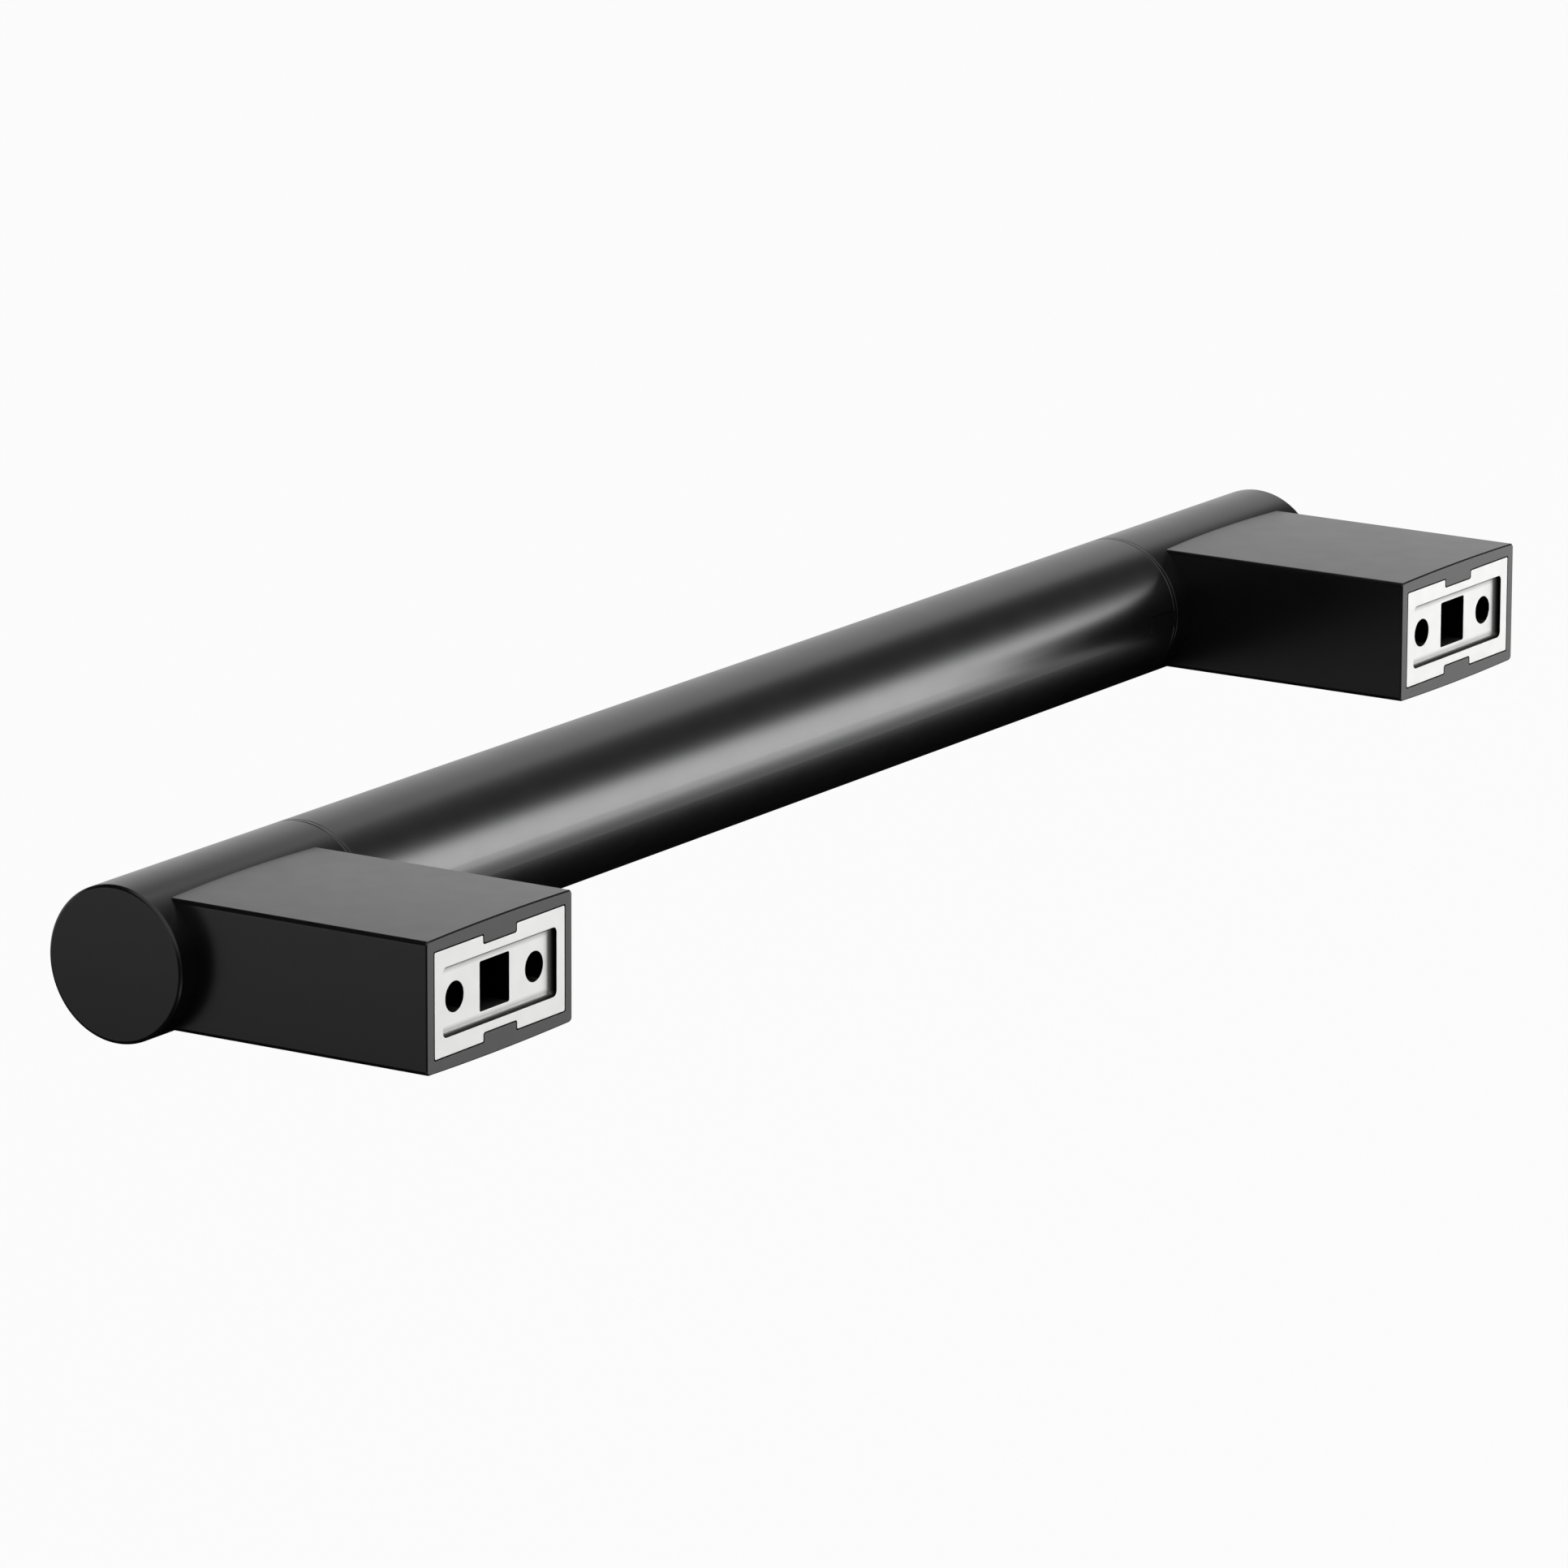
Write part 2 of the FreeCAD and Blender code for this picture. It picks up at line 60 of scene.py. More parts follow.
def push(bm, face, offset):
    # walls along the offset; gives the moved face
    moved = bmesh.ops.extrude_discrete_faces(bm, faces=[face])["faces"][0]
    bmesh.ops.translate(bm, verts=list(moved.verts), vec=offset)
    return moved


def follow(bm, face, path):
    # steps the face along a path of (inset, height) pairs, both measured from its start
    inset, height = 0, 0
    for nextInset, nextHeight in path:
        bmesh.ops.inset_region(bm, faces=[face], thickness=nextInset - inset, depth=nextHeight - height,
                               use_boundary=True, use_even_offset=True)
        inset, height = nextInset, nextHeight
    return face


def quarterTurn(steps):
    return [pi / 2 * (k + 1) / steps for k in range(steps)]


def risingRound(radius, steps):
    # from an upright wall over to the flat end of a block
    return [(radius * (1 - cos(a)), radius * sin(a)) for a in quarterTurn(steps)]


def sinkingRound(radius, steps):
    # from a flat face down into a hole
    return [(radius * sin(a), -radius * (1 - cos(a))) for a in quarterTurn(steps)]


def floorRound(radius, steps):
    # from an upright wall out to a hole's floor
    return [(radius * (1 - cos(a)), -radius * sin(a)) for a in quarterTurn(steps)]


def sheet(bm, y, covered=()):
    # one flat sheet between all open outlines at that depth, in place of the covered faces
    bmesh.ops.delete(bm, geom=list(covered), context="FACES_ONLY")
    edges = [e for e in bm.edges if e.is_boundary and all(abs(v.co.y - y) < mergeDistance for v in e.verts)]
    bmesh.ops.triangle_fill(bm, edges=edges, use_beauty=True, normal=(0, 1, 0))


def crossed(halfWidth, halfHeight, halfNotch, notchHeight, y):
    # rectangle with a notch in the middle of its top and bottom, facing the wall
    w, h, n, k = halfWidth, halfHeight, halfNotch, notchHeight
    outline = [(w, h), (n, h), (n, k), (-n, k), (-n, h), (-w, h),
               (-w, -h), (-n, -h), (-n, -k), (n, -k), (n, -h), (w, -h)]
    return [(x, y, z) for x, z in reversed(outline)]


def box(halfWidth, halfHeight, y):
    w, h = halfWidth, halfHeight
    return [(w, y, -h), (-w, y, -h), (-w, y, h), (w, y, h)]


def disc(bm, x, y, radius, segments):
    # round face that faces the wall
    place = Matrix.Translation((x, y, 0)) @ Matrix.Rotation(radians(-90), 4, "X")
    verts = bmesh.ops.create_circle(bm, cap_ends=True, segments=segments, radius=radius, matrix=place)["verts"]
    return verts[0].link_faces[0]


def closeUp(bm):
    # merges doubles and points every face outwards
    bmesh.ops.remove_doubles(bm, verts=bm.verts, dist=mergeDistance)
    bmesh.ops.delete(bm, geom=[e for e in bm.edges if e.is_wire], context="EDGES")
    bmesh.ops.recalc_face_normals(bm, faces=bm.faces)
    if bm.calc_volume(signed=True) < 0:
        bmesh.ops.reverse_faces(bm, faces=bm.faces)


def makeObject(bm, name):
    mesh = bpy.data.meshes.new(name)
    bm.to_mesh(mesh)
    bm.free()
    made = bpy.data.objects.new(name, mesh)
    bpy.context.scene.collection.objects.link(made)
    return made


def makePiece(bm, name):
    # finished piece in metres, smooth but for its real edges
    closeUp(bm)
    bmesh.ops.scale(bm, vec=(mm, mm, mm), verts=bm.verts)
    wallFaces = {face for face in bm.faces if abs(face.normal.y) > 1 - tiny}  # flat sheets keep hard borders
    for face in bm.faces:
        face.smooth = True
    for edge in bm.edges:
        borders = len(wallFaces.intersection(edge.link_faces)) == 1
        edge.smooth = len(edge.link_faces) == 2 and not borders and edge.calc_face_angle(0) < sharpAngle
    piece = makeObject(bm, name)
    flats = piece.modifiers.new("flatFacesStayFlat", "WEIGHTED_NORMAL")
    flats.mode = "FACE_AREA"
    flats.weight = flatWeight
    flats.keep_sharp = True
    return piece


def makeTool(bm, name):
    # closed solid in millimetres that another piece is joined with or cut by
    closeUp(bm)
    return makeObject(bm, name)


def combined(base, steps):
    # base joined with and cut by tools, as a new bmesh; the tools are used up
    for tool, operation in steps:
        modifier = base.modifiers.new(operation, "BOOLEAN")
        modifier.object = tool
        modifier.operation = operation
        modifier.solver = "EXACT"
    seen = base.evaluated_get(bpy.context.evaluated_depsgraph_get())
    mesh = bpy.data.meshes.new_from_object(seen)
    bm = bmesh.new()
    bm.from_mesh(mesh)
    for used in [base] + [tool for tool, operation in steps]:
        bpy.data.objects.remove(used)
    bpy.data.meshes.remove(mesh)
    bmesh.ops.holes_fill(bm, edges=[e for e in bm.edges if e.is_boundary], sides=0)
    return bm


# bracket: one casting, a closed barrel and a hollow post

bracketSizes = {
    "postWidth": 51.2, "cornerHeight": 13.75, "crownRise": 0.35, "crownSteps": 16,
    "cornerRadius": 0.9, "cornerSegments": 12,
    "wallEdge": 0.28, "mouthEdge": 0.04, "edgeSteps": 3,
    "mouthHalfWidth": 23.15, "mouthHalfHeight": 11.25, "ribHalfWidth": 5.65, "ribHeight": 9.35,
    "mouthCorner": 0.5, "mouthDepth": 14.0, "ledge": 1.0, "ribLedge": 0.3, "cavityDepth": 53.5,
    "halfBarrel": 32.0, "rimRadius": 0.8, "rimSegments": 8, "seamEdge": 0.2, "seamSegments": 4,
    "turnSteps": 256, "endThickness": 4.0, "boreRadius": 14.5, "webHoleRadius": 3.3, "lockHoleRadius": 3.0,
    "lockHoleReach": 20.0, "past": 5.0,  # how far the cutting shapes go, right through what they cut
}


def makePost():
    s = bracketSizes
    half = s["postWidth"] / 2
    bm = bmesh.new()
    section = lonelyFace(bm, box(half, s["cornerHeight"], axisY), s["cornerRadius"], s["cornerSegments"])
    bmesh.ops.delete(bm, geom=[section], context="FACES_ONLY")
    longEdges = [e for e in bm.edges if e.calc_length() > half]  # top and bottom, to be crowned
    bmesh.ops.subdivide_edges(bm, edges=longEdges, cuts=s["crownSteps"] - 1)
    section = bmesh.ops.contextual_create(bm, geom=list(bm.edges))["faces"][0]
    for v in bm.verts:
        rise = s["crownRise"] * (1 - (v.co.x / half) ** 2)
        v.co.z += rise if v.co.z > 0 else -rise
    end = push(bm, section, (0, -axisY - s["wallEdge"], 0))
    end = follow(bm, end, [(s["wallEdge"], s["wallEdge"])])
    mouth = lonelyFace(bm, crossed(s["mouthHalfWidth"] + s["mouthEdge"], s["mouthHalfHeight"] + s["mouthEdge"],
                                   s["ribHalfWidth"] - s["mouthEdge"], s["ribHeight"] + s["mouthEdge"], 0),
                       s["mouthCorner"], s["cornerSegments"])
    mouth = follow(bm, mouth, sinkingRound(s["mouthEdge"], s["edgeSteps"]))
    mouth = push(bm, mouth, (0, s["mouthEdge"] - s["mouthDepth"], 0))
    core = lonelyFace(bm, crossed(s["mouthHalfWidth"] - s["ledge"], s["mouthHalfHeight"] - s["ledge"],
                                  s["ribHalfWidth"] + s["ribLedge"], s["ribHeight"] - s["ribLedge"],
                                  -s["mouthDepth"]), s["mouthCorner"], s["cornerSegments"])
    push(bm, core, (0, s["mouthDepth"] - s["cavityDepth"], 0))
    sheet(bm, 0, [end])
    sheet(bm, -s["mouthDepth"], [mouth])
    sheet(bm, axisY)
    return makeTool(bm, "postShape")


def makeRound(startX, endX, radius, roundings, steps, name):
    # solid of revolution about the bar's axis: a rectangle's outer corners are rounded first
    bm = bmesh.new()
    outer = axisY + radius
    outline = [(startX, axisY, 0), (startX, outer, 0), (endX, outer, 0), (endX, axisY, 0)]
    bm.faces.new([bm.verts.new(corner) for corner in outline])
    for x, size, segments in roundings:
        picked = [v for v in bm.verts if abs(v.co.x - x) < tiny and v.co.y > outer - tiny]
        bmesh.ops.bevel(bm, geom=picked, affect="VERTICES", offset=size, segments=segments,
                        profile=0.5, material=-1)
    bmesh.ops.delete(bm, geom=list(bm.faces), context="FACES_ONLY")
    onAxis = [e for e in bm.edges if all(abs(v.co.y - axisY) < tiny for v in e.verts)]
    bmesh.ops.delete(bm, geom=onAxis, context="EDGES")
    bmesh.ops.spin(bm, geom=list(bm.verts) + list(bm.edges), cent=(0, axisY, 0), axis=(1, 0, 0),
                   angle=2 * pi, steps=steps, use_merge=True)
    return makeTool(bm, name)


def makeDrill(place, radius, length, direction):
    bm = bmesh.new()
    turn = Vector((0, 0, 1)).rotation_difference(Vector(direction)).to_matrix().to_4x4()
    middle = Vector(place) + Vector(direction) * length / 2
    bmesh.ops.create_cone(bm, cap_ends=True, segments=drillSegments, radius1=radius, radius2=radius,
                          depth=length, matrix=Matrix.Translation(middle) @ turn)
    return makeTool(bm, "drill")


def moveToPost(bm, side):
    # from the middle out to its post, with its +X side towards that end of the bar
    turn = Matrix.Rotation(0 if side > 0 else pi, 4, "Y")
    bmesh.ops.transform(bm, matrix=Matrix.Translation((side * postX, 0, 0)) @ turn, verts=bm.verts)


def makeBracket(hand, side):
    s = bracketSizes
    halfBarrel = s["halfBarrel"]
    barrel = makeRound(-halfBarrel, halfBarrel, tubeRadius,
                       [(halfBarrel, s["rimRadius"], s["rimSegments"]),
                        (-halfBarrel, s["seamEdge"], s["seamSegments"])], s["turnSteps"], "barrelShape")
    bore = makeRound(-halfBarrel - s["past"], halfBarrel - s["endThickness"], s["boreRadius"], [],
                     s["turnSteps"], "boreShape")
    webHole = makeDrill((0, axisY, 0), s["webHoleRadius"], -axisY - s["cavityDepth"] + s["past"], (0, 1, 0))
    lockHole = makeDrill((0, -s["mouthDepth"] / 2, 0), s["lockHoleRadius"], s["lockHoleReach"], (0, 0, -side))
    bm = combined(makePost(), [(barrel, "UNION"), (bore, "DIFFERENCE"), (webHole, "DIFFERENCE"),
                               (lockHole, "DIFFERENCE")])
    moveToPost(bm, side)
    piece = makePiece(bm, hand + "Bracket")
    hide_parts(hand + "_bracket")
    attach(piece, "root")
    return piece


brackets = [makeBracket(hand, side) for hand, side in sides.items()]
print("brackets made")


# wall plate: bright block with a recess, two screw holes and a square window

plateSizes = {
    "halfWidth": 23.0, "halfHeight": 11.1, "depth": 14.0, "notchDepth": 1.9, "notchHalfWidth": 5.8,
    "cornerRadius": 0.5, "cornerSegments": 6,
    "rimEdge": 0.2, "edge": 0.05, "edgeSteps": 3,
    "recessHalfWidth": 20.0, "recessHalfHeight": 7.25, "recessDepth": 1.4, "recessRadius": 1.2,
    "recessSegments": 12, "floorRadius": 0.9, "floorSteps": 18,
    "shadedMargin": 1.0, "marginRadius": 0.3,
    "lowerWallShade": 0.8, "windowUnderside": 5.096, "holeUnderside": 2.72,  # walls lower than this face up
    "sideFade": (0.3, 1.0, 0.2), "levelFade": (0.4, 0.95, 0.45),  # painted shade at a wall's foot and top, and its rise
    "holeSpacing": 28.0, "holeRadius": 3.2, "holeSegments": 96,
    "windowHalf": 5.2, "windowRadius": 0.45,
}


def shadeWalls(bm, innerWidth, innerHeight):
    # painted shade per point: 0 on the flat floor and face, up to 1 on the walls
    s = plateSizes
    floorY = -s["recessDepth"]
    shade = bm.verts.layers.float.new("wallShade")
    for v in bm.verts:
        x, z, height = abs(v.co.x), abs(v.co.z), v.co.y - floorY
        pastFloor = x > innerWidth + s["edge"] or z > innerHeight + s["edge"]
        onWall = height < s["floorRadius"] + mergeDistance or abs(v.co.y + s["edge"]) < mergeDistance
        if x > s["recessHalfWidth"] + s["edge"] * 2 or z > s["recessHalfHeight"] + s["edge"] * 2:
            v[shade] = 1.0 if v.co.y < -s["rimEdge"] / 10 else 0.0  # painted shade: the outer edge is painted dark up to the face, where the gap round the plate is in shade
        elif v.co.y < floorY - s["edge"] / 2:
            inWindow = x < s["holeSpacing"] / 2 - s["holeRadius"] - s["edge"]
            lowest = s["windowUnderside"] if inWindow else s["holeUnderside"]
            v[shade] = s["lowerWallShade"] if v.co.z < -lowest else 1.0  # painted light: walls facing up are painted a little less dark
        elif pastFloor and onWall:
            across = max(0.0, x - s["recessHalfWidth"] + s["recessRadius"])
            upright = max(0.0, z - s["recessHalfHeight"] + s["recessRadius"])
            share = upright ** 2 / (across ** 2 + upright ** 2)
            foot, top, rise = (a + (b - a) * share for a, b in zip(s["sideFade"], s["levelFade"]))
            fall = 1 - min(1.0, max(0.0, height) / s["floorRadius"])
            v[shade] = foot + (top - foot) * (1 - fall ** 2) ** rise


def makeWallPlate(hand, side):
    s = plateSizes
    halfWidth, halfHeight, depth = s["halfWidth"], s["halfHeight"], s["depth"]
    bm = bmesh.new()
    outline = crossed(halfWidth, halfHeight, s["notchHalfWidth"], halfHeight - s["notchDepth"], -depth)
    block = lonelyFace(bm, outline, s["cornerRadius"], s["cornerSegments"])
    block = push(bm, block, (0, depth - s["rimEdge"], 0))
    block = follow(bm, block, risingRound(s["rimEdge"], s["edgeSteps"]))
    recess = lonelyFace(bm, box(s["recessHalfWidth"] + s["edge"], s["recessHalfHeight"] + s["edge"], 0),
                        s["recessRadius"] + s["edge"], s["recessSegments"])
    recess = follow(bm, recess, sinkingRound(s["edge"], s["edgeSteps"]))
    recess = push(bm, recess, (0, s["edge"] + s["floorRadius"] - s["recessDepth"], 0))
    recess = follow(bm, recess, floorRound(s["floorRadius"], s["floorSteps"]))
    sheet(bm, 0, [block])
    floorY = -s["recessDepth"]
    insetBy = s["floorRadius"] + s["shadedMargin"]  # painted shade: the floor is painted a little darker towards its walls
    innerWidth, innerHeight = s["recessHalfWidth"] - insetBy, s["recessHalfHeight"] - insetBy
    inner = lonelyFace(bm, box(innerWidth, innerHeight, floorY), s["marginRadius"], s["cornerSegments"])
    margin = list(recess.edges) + list(inner.edges)
    bmesh.ops.delete(bm, geom=[recess, inner], context="FACES_ONLY")
    bmesh.ops.triangle_fill(bm, edges=margin, use_beauty=True, normal=(0, 1, 0))
    openings = [disc(bm, x * s["holeSpacing"] / 2, floorY, s["holeRadius"] + s["edge"], s["holeSegments"])
                for x in (-1, 1)]
    reach = s["windowHalf"] + s["edge"]
    window = lonelyFace(bm, box(reach, reach, floorY), s["windowRadius"] + s["edge"], s["cornerSegments"])
    openings.append(window)
    openings = [follow(bm, opening, sinkingRound(s["edge"], s["edgeSteps"])) for opening in openings]
    ends = [push(bm, opening, (0, s["edge"] + s["recessDepth"] - depth, 0)) for opening in openings]
    sheet(bm, floorY)
    sheet(bm, -depth, ends)
    closeUp(bm)
    shadeWalls(bm, innerWidth, innerHeight)
    bmesh.ops.translate(bm, verts=bm.verts, vec=(side * postX, 0, 0))
    piece = makePiece(bm, hand + "WallPlate")
    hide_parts(hand + "_wall_plate")
    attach(piece, "root")
    return piece


plates = [makeWallPlate(hand, side) for hand, side in sides.items()]
print("wall plates made")


# grip tube with a slot at each end

tubeSizes = {"halfLength": 159.75, "wall": 2.0, "slotHalfWidth": 2.0, "slotLength": 10.1,
             "edge": 0.2, "edgeSegments": 4, "edgeAngle": 60.0, "turnSteps": 252, "slotSteps": 4}


def makeGripTube():
    s = tubeSizes
    half = s["halfLength"]
    slotAngle = asin(s["slotHalfWidth"] / tubeRadius)
    bm = bmesh.new()
    stations = [-half, -half + s["slotLength"], half - s["slotLength"], half]
    startY, startZ = axisY + tubeRadius * cos(slotAngle), -tubeRadius * sin(slotAngle)
    start = [bm.verts.new((x, startY, startZ)) for x in stations]
    line = [bm.edges.new(pair) for pair in zip(start, start[1:])]
    turned = bmesh.ops.spin(bm, geom=start + line, cent=(0, axisY, 0), axis=(-1, 0, 0),
                            angle=2 * pi - 2 * slotAngle, steps=s["turnSteps"])["geom_last"]
    last = sorted([g for g in turned if isinstance(g, bmesh.types.BMVert)], key=lambda v: v.co.x)
    bridge = [e for e in turned if isinstance(e, bmesh.types.BMEdge)
              and {v for v in e.verts} == {last[1], last[2]}]
    bmesh.ops.spin(bm, geom=last[1:3] + bridge, cent=(0, axisY, 0), axis=(-1, 0, 0),
                   angle=2 * slotAngle, steps=s["slotSteps"])
    bmesh.ops.remove_doubles(bm, verts=bm.verts, dist=mergeDistance)
    bmesh.ops.recalc_face_normals(bm, faces=bm.faces)
    bmesh.ops.solidify(bm, geom=bm.faces, thickness=s["wall"])
    bmesh.ops.recalc_face_normals(bm, faces=bm.faces)
    edges = [e for e in bm.edges if e.calc_face_angle(0) > radians(s["edgeAngle"])]
    bmesh.ops.bevel(bm, geom=edges, affect="EDGES", offset=s["edge"], segments=s["edgeSegments"],
                    profile=0.5, material=-1)
    piece = makePiece(bm, "gripTube")
    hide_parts("grip_tube")
    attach(piece, "root")
    return piece


tube = makeGripTube()
print("grip tube made")


# connector: a plug with a ring that shows as two fine seams, and a key that lies in the tube's slot

connectorSizes = {"ringWidth": 1.25, "ringEdge": 0.2, "ringSegments": 4, "plugRadius": 14.45, "plugEdge": 0.4,
                  "inTube": 30.0, "inBarrel": 12.0, "keyHalfWidth": 1.9, "keyLength": 10.0, "keyRoot": 13.45,
                  "keyEdge": 0.15, "edgeSteps": 3, "turnSteps": 256, "past": 1.0,
                  "screwRadius": 3.0, "screwDepth": 15.0}


def makeConnector(hand, side):
    s = connectorSizes
    seam = -bracketSizes["halfBarrel"]
    tubeEnd = seam - s["ringWidth"]
    plugEnd, keyEnd = tubeEnd - s["inTube"], tubeEnd - s["keyLength"]
    ring = makeRound(tubeEnd, seam, tubeRadius,
                     [(x, s["ringEdge"], s["ringSegments"]) for x in (tubeEnd, seam)],
                     s["turnSteps"], "ringShape")
    plug = makeRound(plugEnd, s["inBarrel"], s["plugRadius"],
                     [(x, s["plugEdge"], s["edgeSteps"]) for x in (plugEnd, s["inBarrel"])],
                     s["turnSteps"], "plugShape")
    keyRound = makeRound(keyEnd, tubeEnd + s["ringEdge"] / 2, tubeRadius,
                         [(keyEnd, s["keyEdge"], s["edgeSteps"])], s["turnSteps"], "keyRound")
    bm = bmesh.new()  # block over the key's width, which cuts the key out of the round
    width, top, past = s["keyHalfWidth"], axisY + tubeRadius + s["past"], s["past"]
    outline = [(keyEnd - past, top, -width), (keyEnd - past, top, width),
               (seam + past, top, width), (seam + past, top, -width)]
    lid = bm.faces.new([bm.verts.new(corner) for corner in outline])
    push(bm, lid, (0, s["keyRoot"] - tubeRadius - past, 0))
    bmesh.ops.holes_fill(bm, edges=[e for e in bm.edges if e.is_boundary], sides=0)
    key = makeTool(combined(keyRound, [(makeTool(bm, "keyBlock"), "INTERSECT")]), "keyShape")
    hole = makeDrill((0, axisY + tubeRadius, 0), s["screwRadius"], s["screwDepth"], (0, -1, 0))
    bm = combined(plug, [(ring, "UNION"), (key, "UNION"), (hole, "DIFFERENCE")])
    moveToPost(bm, side)
    piece = makePiece(bm, hand + "Connector")
    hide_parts(hand + "_connector")
    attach(piece, "root")
    return piece


connectors = [makeConnector(hand, side) for hand, side in sides.items()]
print("connectors made")


# materials

coatLook = {"Base Color": (0.004, 0.004, 0.0042, 1), "Roughness": 0.29, "IOR": 1.48}
tubeLook = {"Base Color": (0.004, 0.004, 0.0042, 1), "Roughness": 0.315, "IOR": 1.6}
plateLook = {"Base Color": (0.525, 0.525, 0.52, 1), "Metallic": 1.0, "Roughness": 0.52}
steelLook = {"Base Color": (0.3, 0.3, 0.31, 1), "Metallic": 1.0, "Roughness": 0.35}
grainLook = {
    "coat": {"scale": 2200.0, "drift": 160.0, "tone": 0.15, "roughness": 0.012, "bump": 0.06},
    "tube": {"scale": 2200.0, "drift": 160.0, "tone": 0.15, "roughness": 0.01, "bump": 0.05},
    "plate": {"scale": 2200.0, "drift": 260.0, "tone": 0.03, "roughness": 0.03, "bump": 0.06},
    "steel": {"scale": 2400.0, "drift": 300.0, "tone": 0.2, "roughness": 0.08, "bump": 0.08},
}
noiseSpread, grainHeight = (0.3, 0.7), 0.02  # where most of a noise lies; the grain's height in mm
paintedWallShade = {"level": 0.01, "from": -1.5, "to": -8.0, "deepLevel": 0.05}  # painted shade: walls darken with depth in mm


def newMaterial(name, settings):
    material = bpy.data.materials.new(name)
    material.use_nodes = True
    shader = material.node_tree.nodes["Principled BSDF"]
    for socket, value in settings.items():
        shader.inputs[socket].default_value = value
    return material, shader


def makeGrainGroup():
    # fine surface grain with a slow drift under it: a fine value for bumps, a slow one for tone and gloss
    group = bpy.data.node_groups.new("fineGrain", "ShaderNodeTree")
    for name, value in (("Grain Scale", 1000.0), ("Drift Scale", 50.0)):
        socket = group.interface.new_socket(name, in_out="INPUT", socket_type="NodeSocketFloat")
        socket.default_value = value
    for name in ("Grain", "Drift"):
        group.interface.new_socket(name, in_out="OUTPUT", socket_type="NodeSocketFloat")
    nodes, links = group.nodes, group.links
    entry, result = nodes.new("NodeGroupInput"), nodes.new("NodeGroupOutput")
    place = nodes.new("ShaderNodeTexCoord")
    for output, scale, detail in (("Grain", "Grain Scale", 2.0), ("Drift", "Drift Scale", 3.0)):
        noise = nodes.new("ShaderNodeTexNoise")
        noise.inputs["Detail"].default_value = detail
        links.new(place.outputs["Object"], noise.inputs["Vector"])
        links.new(entry.outputs[scale], noise.inputs["Scale"])
        links.new(noise.outputs["Fac"], result.inputs[output])
    return group


grainGroup = makeGrainGroup()


def colourSockets(sockets):
    # a Mix node has sockets of all kinds; these are the ones for colours
    return [socket for socket in sockets if socket.type == "RGBA"]


def addGrain(material, shader, look):
    # tone, roughness and bump from the grain group; gives the colour's output for more work on it
    nodes, links = material.node_tree.nodes, material.node_tree.links
    grain = nodes.new("ShaderNodeGroup")
    grain.node_tree = grainGroup
    grain.inputs["Grain Scale"].default_value = look["scale"]
    grain.inputs["Drift Scale"].default_value = look["drift"]
    middle = shader.inputs["Roughness"].default_value
    gloss = nodes.new("ShaderNodeMapRange")
    gloss.inputs["From Min"].default_value, gloss.inputs["From Max"].default_value = noiseSpread
    gloss.inputs["To Min"].default_value = middle - look["roughness"]
    gloss.inputs["To Max"].default_value = middle + look["roughness"]
    links.new(grain.outputs["Drift"], gloss.inputs["Value"])
    links.new(gloss.outputs[0], shader.inputs["Roughness"])
    red, green, blue, alpha = shader.inputs["Base Color"].default_value
    tone = nodes.new("ShaderNodeMix")
    tone.data_type = "RGBA"
    for socket, factor in zip(colourSockets(tone.inputs), (1 - look["tone"], 1 + look["tone"])):
        socket.default_value = (red * factor, green * factor, blue * factor, alpha)
    links.new(grain.outputs["Drift"], tone.inputs[0])
    colour = colourSockets(tone.outputs)[0]
    links.new(colour, shader.inputs["Base Color"])
    bump = nodes.new("ShaderNodeBump")
    bump.inputs["Strength"].default_value = look["bump"]
    bump.inputs["Distance"].default_value = grainHeight * mm
    links.new(grain.outputs["Grain"], bump.inputs["Height"])
    links.new(bump.outputs["Normal"], shader.inputs["Normal"])
    return colour


def paintWallShade(material, shader, colour):
    # painted shade: the walls of the recess, holes and window are painted darker than the face, and darker
    # still with depth
    nodes, links = material.node_tree.nodes, material.node_tree.links
    wall = nodes.new("ShaderNodeAttribute")
    wall.attribute_name = "wallShade"
    level = nodes.new("ShaderNodeMapRange")
    level.inputs["To Min"].default_value = 1.0
    level.inputs["To Max"].default_value = paintedWallShade["level"]
    links.new(wall.outputs["Fac"], level.inputs["Value"])
    place = nodes.new("ShaderNodeTexCoord")
    split = nodes.new("ShaderNodeSeparateXYZ")
    depth = nodes.new("ShaderNodeMapRange")
    depth.inputs["From Min"].default_value = paintedWallShade["from"] * mm
    depth.inputs["From Max"].default_value = paintedWallShade["to"] * mm
    depth.inputs["To Min"].default_value = 1.0
    depth.inputs["To Max"].default_value = paintedWallShade["deepLevel"]
    links.new(place.outputs["Object"], split.inputs[0])
    links.new(split.outputs["Y"], depth.inputs["Value"])
    for value in (level.outputs[0], depth.outputs[0]):
        shade = nodes.new("ShaderNodeMix")
        shade.data_type = "RGBA"
        shade.blend_type = "MULTIPLY"
        shade.inputs[0].default_value = 1.0
        first, second = colourSockets(shade.inputs)
        links.new(colour, first)
        links.new(value, second)
        colour = colourSockets(shade.outputs)[0]
    links.new(colour, shader.inputs["Base Color"])


def dress(piece, material):
    piece.data.materials.clear()
    piece.data.materials.append(material)


coat, coatShader = newMaterial("satinBlackCoat", coatLook)
addGrain(coat, coatShader, grainLook["coat"])
tubeCoat, tubeShader = newMaterial("satinBlackTube", tubeLook)
addGrain(tubeCoat, tubeShader, grainLook["tube"])
bright, brightShader = newMaterial("satinPlateMetal", plateLook)
paintWallShade(bright, brightShader, addGrain(bright, brightShader, grainLook["plate"]))
steel, steelShader = newMaterial("darkSteel", steelLook)
addGrain(steel, steelShader, grainLook["steel"])

for piece in brackets:
    dress(piece, coat)
for piece in [tube] + connectors:
    dress(piece, tubeCoat)
for piece in plates:
    dress(piece, bright)
for hand in sides:
    dress(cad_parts[hand + "_connector_screw"], steel)
    dress(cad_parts[hand + "_locking_screw"], steel)
print("materials made")


# camera at the photograph's angle

